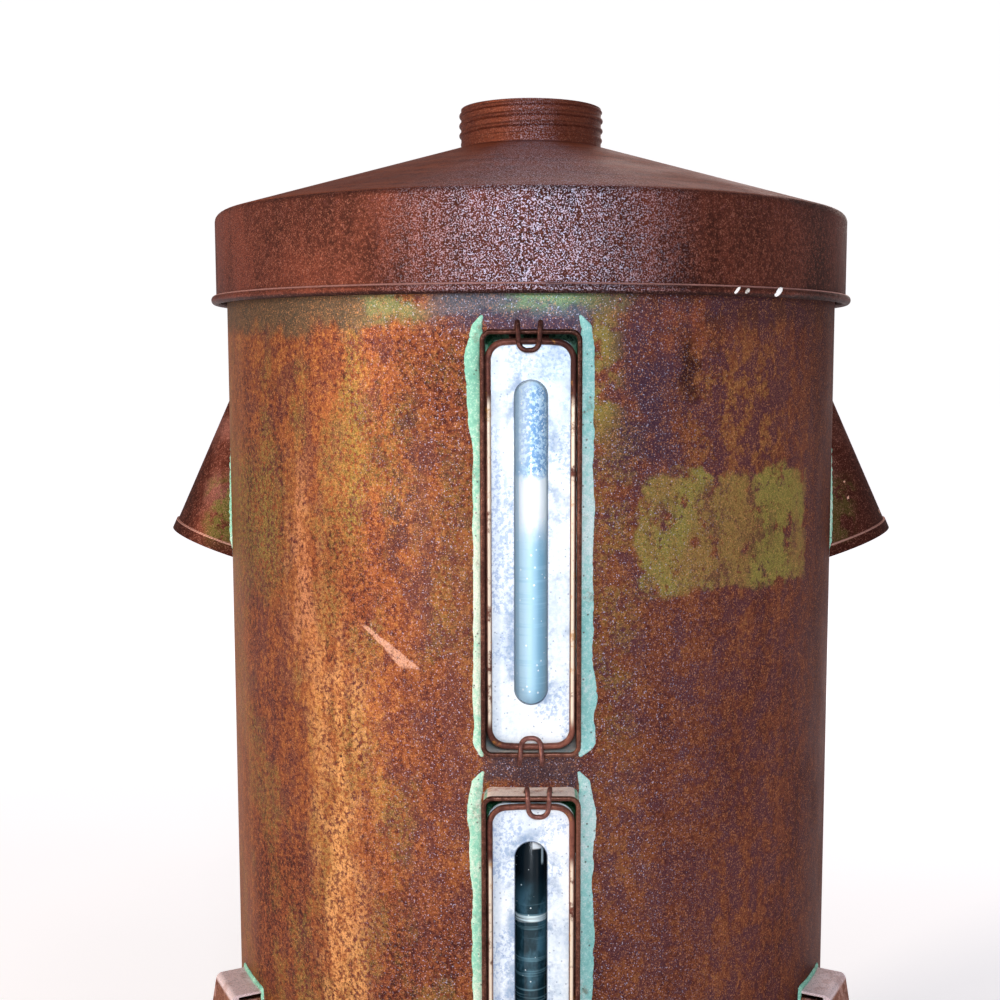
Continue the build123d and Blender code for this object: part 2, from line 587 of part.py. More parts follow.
def make_parts():
    parts["tank_shell"] = make_shell()
    parts["tank_rim_wire"] = Pos(0, 0, BEAD_Z) * Torus(BEAD_CENTRE_R, EDGE_WIRE_R)
    parts["base_pan"] = make_base_pan()
    parts["lid_shell"] = make_lid_shell()
    parts["lid_rim_wire"] = Pos(0, 0, LID_RIM_Z) * Torus(LID_ROLL_CENTRE_R, EDGE_WIRE_R)
    parts["lid_neck"] = make_lid_neck()
    for name, mid in WINDOW_MIDS.items():
        parts[name + "_window_tray"] = cut_tray_holes(make_tray(mid), name, mid)
        parts[name + "_rim_wire"] = make_rim_wire(mid)
        parts[name + "_cover_plate"] = make_cover_plate(mid)
        parts[name + "_plate_rests"] = make_plate_rests(mid)
        parts[name + "_wire_frame"] = make_wire_frame(mid)
        parts[name + "_top_clip"] = make_clip(name, "top", mid)
        parts[name + "_bottom_clip"] = make_clip(name, "bottom", mid)
        parts[name + "_gauge_tube"] = make_gauge_tube(mid)
        parts[name + "_top_socket"] = make_socket(mid, 1)
        parts[name + "_bottom_socket"] = make_socket(mid, -1)
        parts[name + "_tube_sleeves"] = make_sleeves(mid)
        parts[name + "_stub_washers"] = make_stub_washers(mid)
        parts[name + "_stub_nuts"] = make_stub_nuts(mid)
    for side in ("left", "right"):
        parts[side + "_hood"] = make_hood(side)
    for name, azimuth in LEG_AZIMUTHS.items():
        parts[name + "_leg"] = make_leg(azimuth)
        parts[name + "_foot_plate"] = make_foot(azimuth)
    parts["tap_body"] = make_tap_body()
    parts["tap_plug"] = make_tap_plug()
    parts["tap_lever"] = make_tap_lever()
    parts["tap_lever_screw"] = make_tap_screw()
    parts["tap_plug_washer"] = make_plug_washer()
    parts["tap_plug_nut"] = make_plug_nut()
    parts["tap_washer"] = make_tap_washer()
    parts["tap_inner_washer"] = make_tap_inner_washer()
    parts["tap_nut"] = make_tap_nut()


def write_parts():
    os.makedirs("parts", exist_ok=True)
    for node, shape in parts.items():
        solid = Compound(children=shape) if isinstance(shape, list) else shape
        export_step(solid, "parts/" + node + ".step")


make_parts()
write_parts()
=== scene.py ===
import math

import bmesh
import bpy
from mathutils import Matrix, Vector, noise


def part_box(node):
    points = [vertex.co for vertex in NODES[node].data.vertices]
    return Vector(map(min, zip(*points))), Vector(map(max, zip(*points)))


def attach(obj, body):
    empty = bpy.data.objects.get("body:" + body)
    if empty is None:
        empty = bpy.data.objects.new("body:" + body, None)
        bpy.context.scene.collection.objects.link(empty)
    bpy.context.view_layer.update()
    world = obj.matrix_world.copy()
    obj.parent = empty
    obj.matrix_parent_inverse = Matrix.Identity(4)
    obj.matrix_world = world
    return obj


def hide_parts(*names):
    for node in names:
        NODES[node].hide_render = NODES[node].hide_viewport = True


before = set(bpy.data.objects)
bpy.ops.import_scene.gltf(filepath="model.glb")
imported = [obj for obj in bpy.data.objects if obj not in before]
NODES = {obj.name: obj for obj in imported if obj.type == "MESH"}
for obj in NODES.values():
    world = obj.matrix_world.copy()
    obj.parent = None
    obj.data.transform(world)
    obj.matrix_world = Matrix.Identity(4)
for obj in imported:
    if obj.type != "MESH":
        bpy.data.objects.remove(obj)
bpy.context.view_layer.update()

# ---- Sizes worked out from the frame, in metres ----

NECK_LOW, NECK_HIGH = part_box("lid_neck")
WIRE_LOW, WIRE_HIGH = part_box("lid_rim_wire")
RIM_Z = (WIRE_LOW.z + WIRE_HIGH.z) / 2      # heights are given from the lid's wired edge
SHEET = 0.0012
BODY_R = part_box("base_pan")[1].x + SHEET    # outside of the tank wall
WINDOWS = {name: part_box(name + "_rim_wire") for name in ("upper", "lower")}
WINDOW_X = WINDOWS["upper"][1].x            # outside of the wire round a window's edge
LEG_LOW, LEG_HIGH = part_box("rear_leg")
LEG_W = LEG_HIGH.x - LEG_LOW.x

HOOD_ROOT_DOWN = 0.1245          # where a hood's lip meets the wall, below the lid's edge
HOOD_ROOT_IN = 0.004             # and that point's depth inside the wall's face
HOOD_LIP_REACH = 0.036           # from there out to the lip's outermost point
HOOD_LIP_RISE = 0.0115           # and up to it
LIP_TILT = math.atan2(HOOD_LIP_RISE, HOOD_LIP_REACH)
CONE_FOOT = 0.04                 # where the lid's cone starts, above the lid's edge

SLOT_RISE = 0.0006               # middle of a cover plate's slot, above the window's middle
SLOT_HALF_H = 0.0649
SLOT_HALF_W = 0.0065
RESIDUE_X = (0.0159, 0.0171)     # the residue's strip along the sides of a wire frame

CRUST_STEP = 0.0009
CRUST_ACROSS = [-1, -0.93, -0.75, -0.5, -0.2, 0.2, 0.5, 0.75, 0.93, 1]
CRUST_ROOT = 0.0002              # how far a crust's edges sink into the wall
CRUST_WANDER = 0.12              # sideways, as a share of its width
CRUST_RAGGED = 0.22              # unevenness of its edges, as a share of its half width
CRUST_TAPER = 6                  # steps over which its ends thin out
CRUST_WIDTHS = {                 # near a window's top, along its side, near its bottom
    "upper_left": (0.0070, 0.0040, 0.0044),
    "upper_right": (0.0064, 0.0060, 0.0078),
    "lower_left": (0.0064, 0.0050, 0.0050),
    "lower_right": (0.0074, 0.0068, 0.0060),
}
SEAM_COUNT = 12                  # steps from the tip of a hood's seam to either end
SEAM_TIP_GAP = 0.004             # rounds the seam off at its tip

THREAD_PITCH = 0.0048
THREAD_DEPTH = 0.0011
THREAD_TURNS = 3.4
NECK_WALL = 0.0016
NECK_SIDES = 160
NECK_LEVELS = 90
TUBE_WALL = 0.0016
TUBE_SIDES = 96
BLOB_LEVELS = 4
BLOB_SIDES = 14

ROOM_LIGHT = 0.36                # how much the white room lights the object
ROOM_SEEN = 1.02                 # how bright it looks behind it


# ---- Camera, at eye level just below the lid's rim ----

def make_camera():
    """A little below the lid's edge, pitched slightly down, the object a little right of the middle."""
    data = bpy.data.cameras.new("camera")
    data.sensor_width = 36.0
    data.lens = 49.86
    data.shift_x = -0.031
    data.dof.use_dof = False
    camera = bpy.data.objects.new("camera", data)
    bpy.context.scene.collection.objects.link(camera)
    camera.location = (0, -0.706, RIM_Z - 0.028)
    camera.rotation_euler = (math.radians(90 - 5.81), 0, 0)
    bpy.context.scene.camera = camera


# ---- Node helper ----

class Shader:
    """A material's node tree, built from short calls."""

    def __init__(self, name):
        self.material = bpy.data.materials.new(name)
        self.material.use_nodes = True
        self.tree = self.material.node_tree
        self.tree.nodes.clear()
        self.output = self.tree.nodes.new("ShaderNodeOutputMaterial")
        self.bsdf = self.tree.nodes.new("ShaderNodeBsdfPrincipled")
        self.link(self.bsdf.outputs["BSDF"], self.output.inputs["Surface"])
        self.place = self.tree.nodes.new("ShaderNodeTexCoord").outputs["Object"]

    def link(self, source, target):
        self.tree.links.new(source, target)

    def feed(self, socket, value):
        if isinstance(value, bpy.types.NodeSocket):
            self.link(value, socket)
        else:
            socket.default_value = value

    def stretched(self, scale):
        node = self.tree.nodes.new("ShaderNodeMapping")
        node.inputs["Scale"].default_value = scale
        self.link(self.place, node.inputs["Vector"])
        return node.outputs["Vector"]

    def noise(self, scale, detail=4.0, rough=0.55, stretch=None, warp=0.0):
        node = self.tree.nodes.new("ShaderNodeTexNoise")
        node.inputs["Scale"].default_value = scale
        node.inputs["Detail"].default_value = detail
        node.inputs["Roughness"].default_value = rough
        node.inputs["Distortion"].default_value = warp
        self.link(self.stretched(stretch) if stretch else self.place, node.inputs["Vector"])
        return node.outputs["Fac"]

    def cells(self, scale):
        """Distance to the nearest of many scattered points."""
        node = self.tree.nodes.new("ShaderNodeTexVoronoi")
        node.feature = "F1"
        node.inputs["Scale"].default_value = scale
        self.link(self.place, node.inputs["Vector"])
        return node.outputs["Distance"]

    def step(self, value, low, high, out_low=0.0, out_high=1.0):
        """Rises smoothly from out_low to out_high as value goes from low to high."""
        node = self.tree.nodes.new("ShaderNodeMapRange")
        node.interpolation_type = "SMOOTHSTEP"
        self.feed(node.inputs["Value"], value)
        node.inputs["From Min"].default_value = low
        node.inputs["From Max"].default_value = high
        node.inputs["To Min"].default_value = out_low
        node.inputs["To Max"].default_value = out_high
        return node.outputs["Result"]

    def math(self, operation, a, b=0.0):
        node = self.tree.nodes.new("ShaderNodeMath")
        node.operation = operation
        self.feed(node.inputs[0], a)
        self.feed(node.inputs[1], b)
        return node.outputs[0]

    def times(self, *values):
        result = values[0]
        for value in values[1:]:
            result = self.math("MULTIPLY", result, value)
        return result

    def plus(self, *values):
        result = values[0]
        for value in values[1:]:
            result = self.math("ADD", result, value)
        return result

    def axis(self, letter):
        node = self.tree.nodes.new("ShaderNodeSeparateXYZ")
        self.link(self.place, node.inputs[0])
        return node.outputs[letter]

    def azimuth(self):
        """Degrees round the tank from the front, positive to the right."""
        angle = self.math("ARCTAN2", self.axis("X"), self.math("MULTIPLY", self.axis("Y"), -1.0))
        return self.math("MULTIPLY", angle, 180 / math.pi)

    def down(self):
        """Millimetres below the lid's edge."""
        return self.math("MULTIPLY", self.math("SUBTRACT", RIM_Z, self.axis("Z")), 1000.0)

    def radius(self):
        """Metres from the tank's axis."""
        squares = self.plus(self.math("POWER", self.axis("X"), 2.0),
                            self.math("POWER", self.axis("Y"), 2.0))
        return self.math("POWER", squares, 0.5)

    def across(self):
        """Metres from the middle, to either side."""
        return self.math("ABSOLUTE", self.axis("X"))

    def band(self, value, low, high, soft):
        """1 between low and high, falling to 0 over soft on each side."""
        up = self.step(value, low - soft, low + soft)
        down = self.step(value, high - soft, high + soft, 1.0, 0.0)
        return self.times(up, down)

    def mix(self, factor, a, b):
        node = self.tree.nodes.new("ShaderNodeMix")
        node.data_type = "RGBA"
        self.feed(node.inputs["Factor"], factor)
        self.feed(node.inputs["A"], rgba(a))
        self.feed(node.inputs["B"], rgba(b))
        return node.outputs["Result"]

    def ramp(self, value, *stops):
        node = self.tree.nodes.new("ShaderNodeValToRGB")
        ramp = node.color_ramp
        while len(ramp.elements) < len(stops):
            ramp.elements.new(0.5)
        for element, (place, colour) in zip(ramp.elements, stops):
            element.position = place
            element.color = rgba(colour)
        self.feed(node.inputs["Fac"], value)
        return node.outputs["Color"]

    def bump(self, height, distance):
        node = self.tree.nodes.new("ShaderNodeBump")
        node.inputs["Strength"].default_value = 1.0
        node.inputs["Distance"].default_value = distance
        self.feed(node.inputs["Height"], height)
        self.link(node.outputs["Normal"], self.bsdf.inputs["Normal"])

    def finish(self, colour, roughness=0.5, metallic=0.0, **extra):
        self.feed(self.bsdf.inputs["Base Color"], rgba(colour))
        self.feed(self.bsdf.inputs["Roughness"], roughness)
        self.feed(self.bsdf.inputs["Metallic"], metallic)
        for name, value in extra.items():
            self.feed(self.bsdf.inputs[name.replace("_", " ")], value)
        return self.material


def rgba(colour):
    """An RRGGBB word, or a socket, as something that a colour input takes."""
    if isinstance(colour, str):
        channels = [int(colour[place:place + 2], 16) / 255 for place in (0, 2, 4)]
        return (*[linear(channel) for channel in channels], 1.0)
    return colour


def linear(channel):
    """A channel of a colour as screens give it, as light."""
    if channel <= 0.04045:
        return channel / 12.92
    return ((channel + 0.055) / 1.055) ** 2.4


# ---- Aged copper ----

class Copper(Shader):
    """Browned copper sheet: a fine grain of sparkling spots over blotches and streaks."""

    def __init__(self, name):
        super().__init__(name)
        self.grain = self.noise(1700.0, 2.0, 0.6)
        self.coarse = self.noise(560.0, 4.0, 0.7)
        self.blotch = self.noise(26.0, 6.0, 0.62, stretch=(1, 1, 0.55))
        self.cloud = self.noise(9.0, 4.0, 0.55, stretch=(1, 1, 0.5), warp=0.6)
        self.streak = self.noise(95.0, 4.0, 0.6, stretch=(1, 1, 0.07))
        self.edge = self.noise(75.0, 8.0, 0.68)
        self.colour = None

    def skin(self, dark, middle, light):
        """The general colour, from three tones."""
        tone = self.plus(self.times(self.cloud, 0.3), self.times(self.blotch, 0.3),
                         self.times(self.streak, 0.16), self.times(self.coarse, 0.24))
        self.colour = self.ramp(tone, (0.43, dark), (0.5, middle), (0.57, light))

    def lay(self, mask, colour, amount=1.0):
        """Lays another colour over part of the skin."""
        self.colour = self.mix(self.times(mask, amount), self.colour, colour)

    def mottled(self):
        """Ragged patches a few millimetres across."""
        return self.noise(110.0, 7.0, 0.7, stretch=(1, 1, 0.75))

    def speckle(self, dark, light, amount):
        """The grain: pits of a dark tone and spots of a light one."""
        pits = self.step(self.grain, 0.5, 0.36)
        bright = self.step(self.grain, 0.52, 0.66)
        self.lay(pits, dark, amount)
        self.lay(self.times(bright, self.step(self.coarse, 0.4, 0.56)), light, amount)

    def sheet_metal(self, gloss=0.46, metallic=0.55, bump=0.00016):
        """The usual finish of a copper surface."""
        roughness = self.plus(self.step(self.blotch, 0.3, 0.7, gloss + 0.12, gloss - 0.04),
                              self.times(self.coarse, 0.1))
        height = self.plus(self.times(self.grain, 0.7), self.coarse)
        self.bump(height, bump)
        return self.finish(self.colour, roughness, metallic, Specular_Tint=rgba("A87C68"),
                           Specular_IOR_Level=0.4)


def tank_copper():
    """The wall and floor: brown, patched and streaked by what ran down it, with a painted warm highlight
    down the left, painted glints in front, painted shade to the right and a painted shadow between the
    window boxes.
    """
    s = Copper("tank copper")
    rough = s.math("SUBTRACT", s.edge, 0.5)
    true_az = s.azimuth()
    true_down = s.down()
    az = s.plus(true_az, s.times(rough, 8.0))
    down = s.plus(true_down, s.times(rough, 28.0))
    tone = s.plus(s.times(s.noise(520.0, 4.0, 0.68), 0.5), s.times(s.cloud, 0.16),
                  s.times(s.blotch, 0.2), s.times(s.streak, 0.14))
    s.colour = s.ramp(tone, (0.42, "381A1C"), (0.465, "5E2E24"), (0.505, "7C422A"),
                      (0.545, "8C5230"), (0.6, "A8703C"))
    s.mottle = s.mottled()
    s.lay(s.times(s.step(s.mottle, 0.47, 0.58), s.step(s.blotch, 0.4, 0.52)), "4E2A30", 0.55)
    s.lay(s.step(s.mottle, 0.46, 0.38), "985A34", 0.35)
    left_side(s, az, down)
    under_the_lid(s, az, down)
    right_side(s, az, down)
    # Painted shadow: a dark blue-grey patch on the wall between the window boxes, under the upper box.
    s.lay(patch(s, az, down, (-7.5, 7.5), (184, 204), (1.5, 3)), "443A44", 0.85)
    scrape(s, true_az, true_down)
    s.speckle("2A1412", "E09A68", 0.42)
    # Painted glints: pale blue-white grain specks across the front, standing in for the flash's sparkle.
    glints = s.times(s.step(s.noise(1500.0, 1.0, 0.5), 0.66, 0.7), s.band(az, -24, 26, 14))
    s.lay(glints, "C4C8E8", 0.6)
    return s.sheet_metal(0.42, 0.6, 0.00014)


def patch(s, az, down, sides, heights, soft=(2.5, 6.0)):
    """A mask over part of the wall: degrees round from the front, mm down from the lid."""
    return s.times(s.band(az, *sides, soft[0]), s.band(down, *heights, soft[1]))


def left_side(s, az, down):
    """Olive and ochre over the brown, with runs where rain or drink ran down: a dark one, and paler warm
    ones down the left that are partly patina and partly a painted highlight from the warm light.
    """
    olive = s.step(s.noise(30.0, 5.0, 0.62, stretch=(1, 1, 0.5)), 0.47, 0.57)
    grain = s.step(s.coarse, 0.42, 0.56)
    s.lay(s.times(patch(s, az, down, (-100, -8), (22, 470), (6, 12)), olive, grain), "786C38", 0.5)
    s.lay(patch(s, az, down, (-95, -62), (-60, 470), (8, 20)), "A07454", 0.35)
    s.lay(s.times(patch(s, az, down, (-80, -46), (72, 130), (6, 16)), grain), "7A7038", 0.6)
    s.lay(s.times(patch(s, az, down, (-31, -28), (4, 110), (2, 20)), grain), "8E7C3A", 0.5)
    stain_and_highlight = patch(s, az, down, (-24, -16), (30, 120), (3, 20))
    s.lay(s.times(stain_and_highlight, s.step(s.mottle, 0.46, 0.56)), "40282C", 0.7)
    runs = s.step(s.plus(s.times(s.streak, 0.5), s.times(s.mottle, 0.5)), 0.42, 0.56)
    # Painted highlight: these pale warm streaks stand partly for the warm light's highlight, partly for
    # patina.
    s.lay(s.times(patch(s, az, down, (-46, -38), (76, 160), (4, 24)), runs, grain), "D89468", 0.6)
    s.lay(s.times(patch(s, az, down, (-39, -28), (150, 430), (4, 30)), runs, grain), "E0A468", 0.7)
    s.lay(s.times(patch(s, az, down, (-20, -10), (60, 280), (3, 20)), runs), "5A3436", 0.6)


def under_the_lid(s, az, down):
    """The band where damp has lain: blue grey and green, darker to the right."""
    ragged = s.step(s.edge, 0.4, 0.54)
    s.lay(patch(s, az, down, (-90, -24), (-60, 15), (4, 4)), "4E4A3C", 0.8)
    s.lay(s.times(patch(s, az, down, (-27, -16), (2, 14), (3, 4)), ragged), "6C7E54", 0.75)
    s.lay(patch(s, az, down, (-16, 12), (-60, 11), (4, 3)), "4C5E6C", 0.8)
    s.lay(s.times(patch(s, az, down, (-4, 17), (-2, 9), (3, 3)), ragged), "6E9064", 0.75)
    s.lay(patch(s, az, down, (-12, 9), (9, 18), (3, 3)), "38364C", 0.75)
    s.lay(patch(s, az, down, (17, 75), (-60, 14), (3, 6)), "2C2428", 0.85)


def right_side(s, az, down):
    """Purpler, and painted darker as shade away from the light, with olive by the window and a lost
    label's olive ghost.
    """
    ragged = s.step(s.edge, 0.42, 0.54)
    grain = s.step(s.coarse, 0.42, 0.56)
    # Painted shade: the right side is darkened, away from the warm light; the purple mottling over it is
    # patina.
    shade = patch(s, az, down, (9, 200), (-60, 470), (4, 20))
    s.lay(shade, "5A302A", 0.5)
    s.lay(s.times(shade, s.step(s.mottle, 0.43, 0.58)), "4A3040", 0.5)
    s.lay(s.times(patch(s, az, down, (13, 24), (14, 84), (4, 14)), ragged), "342A3E", 0.65)
    # Painted shade: darker still towards the right edge.
    s.lay(s.band(az, 56, 124, 10), "3A1C16", 0.6)
    s.lay(s.times(patch(s, az, down, (9, 13.5), (10, 60), (2, 10)), ragged), "8E8440", 0.7)
    s.lay(s.times(patch(s, az, down, (9, 17), (60, 190), (3, 30)), ragged, grain), "8A7234", 0.5)
    runs = s.step(s.plus(s.times(s.streak, 0.5), s.times(s.edge, 0.5)), 0.46, 0.56)
    ochre = s.times(patch(s, az, down, (26, 46), (26, 74), (4, 12)), s.step(s.mottle, 0.54, 0.46))
    s.lay(s.times(ochre, grain), "94683A", 0.6)
    s.lay(s.times(patch(s, az, down, (20, 30), (4, 24), (4, 8)), runs), "8E4A2E", 0.6)
    s.lay(patch(s, az, down, (24.6, 26.8), (20, 44), (0.8, 6)), "241010", 0.75)
    label = patch(s, az, down, (17.0, 55.5), (76, 125), (0.8, 2.0))
    olive = s.mix(s.step(s.blotch, 0.44, 0.56), "868040", "846C3C")
    s.lay(s.times(label, s.step(s.edge, 0.38, 0.48), s.step(s.coarse, 0.32, 0.46)), olive, 0.9)
    hole = s.times(patch(s, az, down, (38, 45), (92, 112), (3, 4)), s.step(s.mottle, 0.4, 0.5))
    worn = s.times(s.step(s.mottle, 0.53, 0.6), s.step(s.blotch, 0.44, 0.54))
    s.lay(s.times(label, s.math("MAXIMUM", hole, worn)), "5A3830", 0.7)


def scrape(s, az, down):
    """A pale diagonal scrape to the left of the upper window, broader at its foot."""
    along = s.step(down, 138.0, 158.0)
    off = s.math("SUBTRACT", az, s.plus(-28.3, s.times(s.math("SUBTRACT", down, 138.0), 0.5)))
    off = s.plus(off, s.times(s.math("SUBTRACT", s.edge, 0.5), 2.4))
    width = s.plus(0.5, s.times(along, 1.1))
    inside = s.step(s.math("DIVIDE", s.math("ABSOLUTE", off), width), 1.2, 0.8)
    broken = s.step(s.coarse, 0.34, 0.46)
    s.lay(s.times(inside, s.band(down, 139.5, 155.5, 1.2), broken), "C89A84", 0.8)


def lid_copper():
    """The lid: painted glints in front, a cone painted lighter, partly as light from above, and ringed
    brown, painted shade to the right, a painted highlight along the top of the rolled edge and painted
    shade under it.
    """
    s = Copper("lid copper")
    height = s.math("SUBTRACT", s.axis("Z"), RIM_Z)
    radius = s.radius()
    s.skin("341814", "52281F", "70382A")
    # Painted shade: darker towards the right, away from the warm light.
    s.lay(s.step(s.azimuth(), 20, 80), "2C1412", 0.55)
    cone = s.step(height, CONE_FOOT - 0.0004, CONE_FOOT + 0.0004)
    # The cone is lighter orange-brown: partly its own tone, partly painted light falling on it from
    # above.
    s.lay(cone, "8A4630", 0.7)
    rings = s.noise(60.0, 3.0, 0.6, stretch=(0.05, 0.05, 12))
    s.lay(s.times(cone, s.step(rings, 0.4, 0.62)), "9A5236", 0.6)
    s.lay(s.times(cone, s.step(s.mottled(), 0.5, 0.6)), "5A2C26", 0.5)
    s.lay(s.times(s.band(height, 0.004, 0.03, 0.006), s.step(s.coarse, 0.5, 0.6)), "743A22", 0.5)
    s.lay(s.step(s.coarse, 0.54, 0.62), "452A30", 0.5)
    # Painted glints: pale blue-white grain specks across the front.
    s.lay(s.times(s.band(s.azimuth(), -14, 16, 12), s.step(s.grain, 0.53, 0.6)), "C8CCE8", 0.8)
    s.lay(s.step(s.axis("Z"), NECK_LOW.z + 0.001, NECK_LOW.z + 0.003), "4A241E", 0.6)
    # Painted highlight: a pale pink line along the top of the rolled edge.
    crest = s.times(s.step(height, 0.0012, 0.0019), s.step(radius, 0.15545, 0.1557),
                    s.step(height, 0.004, 0.003))
    s.lay(crest, "E0A8A0", 0.85)
    # Painted shade: near black under the rolled edge.
    s.lay(s.times(s.step(height, -0.0004, -0.0014), s.step(radius, 0.154, 0.155)), "241416", 0.9)
    s.speckle("200E0E", "A8705C", 0.45)
    return s.sheet_metal(0.42, 0.45, 0.0002)


def hood_copper():
    """The hoods: darker on the right, olive near the wall, with a painted highlight along the top of the
    hem.
    """
    s = Copper("hood copper")
    down = s.down()
    out = s.math("MULTIPLY", s.math("SUBTRACT", s.across(), BODY_R), 1000.0)
    root = HOOD_ROOT_DOWN * math.cos(LIP_TILT) - HOOD_ROOT_IN * math.sin(LIP_TILT)
    above_lip = s.plus(s.times(down, -math.cos(LIP_TILT)), s.times(out, -math.sin(LIP_TILT)),
                       1000.0 * root)
    s.skin("34160F", "4E241C", "6A362A")
    s.lay(s.times(s.band(down, 20, 100, 8), s.step(s.blotch, 0.46, 0.56)), "8A5C54", 0.5)
    near_wall = s.step(s.plus(out, s.times(s.edge, 16.0)), 22.0, 14.0)
    mossy = s.times(near_wall, s.band(down, 88, 118, 6), s.step(s.mottled(), 0.44, 0.54))
    s.lay(mossy, "60602C", 0.75)
    s.lay(s.step(s.axis("X"), -0.01, 0.01), "3A1A16", 0.5)
    flakes = s.step(s.noise(150.0, 3.0, 0.5), 0.69, 0.7)
    s.lay(s.times(flakes, s.step(s.axis("X"), 0.0, 0.01)), "F0B8A0", 0.9)
    s.lay(s.step(above_lip, 4.6, 4.4), "34140F", 0.7)
    # Painted highlight: a pale line along the hem's top edge.
    s.lay(s.band(above_lip, 4.7, 5.3, 0.2), "D8A498", 0.8)
    s.speckle("200E0C", "B07868", 0.45)
    return s.sheet_metal(0.42, 0.5)


def leg_copper():
    """The legs: pale on their folded tops, greenish towards the floor."""
    s = Copper("leg copper")
    top = LEG_HIGH.z
    s.skin("6A3E30", "8A5844", "A87460")
    s.lay(s.step(s.axis("Z"), top - 0.0035, top - 0.0015), "F0DCE0", 0.95)
    s.lay(s.times(s.band(s.axis("Z"), top - 0.012, top + 0.001, 0.003), s.step(s.edge, 0.5, 0.6)),
          "C09A94", 0.6)
    s.lay(s.times(s.step(s.axis("Z"), 0.05, 0.01), s.step(s.edge, 0.4, 0.55)), "6E7A58", 0.6)
    s.speckle("3A2420", "E0B8A0", 0.35)
    return s.sheet_metal(0.5, 0.45)


def tray_copper():
    """The window boxes: pale ledges, brown sides, green where damp stays in the top corners."""
    s = Copper("tray copper")
    across = s.across()
    inside = s.times(s.step(across, WINDOW_X - 0.0008, WINDOW_X - 0.0013), ends_inside(s))
    s.skin("2A1C18", "43302A", "5C4A3E")
    s.lay(s.step(s.edge, 0.5, 0.6), "2E6E60", 0.7)
    s.lay(s.times(near_ends(s, True, 0.03), s.step(s.edge, 0.62, 0.5)), "2A9466", 0.95)
    s.lay(s.times(near_ends(s, True, 0.012), s.step(s.mottled(), 0.44, 0.52)), "A8DCC4", 0.9)
    s.lay(near_ends(s, False, 0.006), "FFF4EC", 1.0)
    s.lay(s.step(s.streak, 0.54, 0.62), "C4DCDC", 0.7)
    outer = s.mix(s.step(s.edge, 0.54, 0.66), "FFF0E6", "D8B0A0")
    outer = s.mix(s.step(across, WINDOW_X - 0.0011, WINDOW_X - 0.0007), outer, "8C6254")
    s.colour = s.mix(inside, outer, s.colour)
    s.speckle("1C1210", "D8D0C0", 0.25)
    return s.sheet_metal(0.55, 0.2)


def ends_inside(s):
    """1 between the end walls' inner faces of either window."""
    masks = [s.band(s.axis("Z"), low.z + 0.0012, high.z - 0.0012, 0.0002)
             for low, high in WINDOWS.values()]
    return s.math("MINIMUM", s.plus(*masks), 1.0)


def near_ends(s, top, reach):
    """1 at the top, or the bottom, of either window, fading out over reach."""
    masks = []
    for low, high in WINDOWS.values():
        if top:
            masks.append(s.band(s.axis("Z"), high.z - reach * 0.6, high.z, reach * 0.4))
        else:
            masks.append(s.band(s.axis("Z"), low.z, low.z + reach * 0.6, reach * 0.4))
    return s.math("MINIMUM", s.plus(*masks), 1.0)


def verdigris(name, pale, middle, deep):
    """Matt and lumpy, spotted with brown."""
    s = Copper(name)
    s.skin(deep, middle, pale)
    s.lay(s.step(s.edge, 0.56, 0.66), "6A5A40", 0.7)
    s.lay(s.step(s.cells(300.0), 0.16, 0.1), "3E2A22", 0.8)
    s.speckle(deep, "F4FAF4", 0.35)
    s.bump(s.plus(s.coarse, s.edge), 0.0004)
    return s.finish(s.colour, 0.75, 0.0)


def wire_metal(name, dark, middle, light):
    """Browned wire."""
    s = Copper(name)
    s.skin(dark, middle, light)
    s.speckle("20120E", "C09080", 0.2)
    s.bump(s.plus(s.coarse, s.grain), 0.00004)
    return s.finish(s.colour, s.step(s.coarse, 0.3, 0.7, 0.42, 0.3), 0.6,
                    Specular_Tint=rgba("B08C80"))


def frame_wire_metal():
    """Brown wire with a pale residue down its sides."""
    s = Copper("frame wire")
    s.skin("321A18", "52302A", "7A4C40")
    sides = s.band(s.across(), *RESIDUE_X, 0.0003)
    for low, high in WINDOWS.values():
        run = s.band(s.axis("Z"), low.z + 0.014, high.z - 0.028, 0.003)
        s.lay(s.times(sides, run, s.step(s.edge, 0.38, 0.46)), "E4D4C0", 0.9)
    s.lay(s.step(s.edge, 0.58, 0.64), "9C6A30", 0.7)
    s.bump(s.plus(s.coarse, s.grain), 0.00004)
    return s.finish(s.colour, s.step(s.coarse, 0.3, 0.7, 0.5, 0.36), 0.35,
                    Specular_Tint=rgba("B08C80"))


def slot_distance(s, low, high):
    """Metres from the edge of a cover plate's slot, in front view."""
    centre = (low.z + high.z) / 2 + SLOT_RISE
    rise = s.math("ABSOLUTE", s.math("SUBTRACT", s.axis("Z"), centre))
    past = s.math("MAXIMUM", s.math("SUBTRACT", rise, SLOT_HALF_H - SLOT_HALF_W), 0.0)
    squares = s.plus(s.math("POWER", s.axis("X"), 2.0), s.math("POWER", past, 2.0))
    return s.math("SUBTRACT", s.math("POWER", squares, 0.5), SLOT_HALF_W)


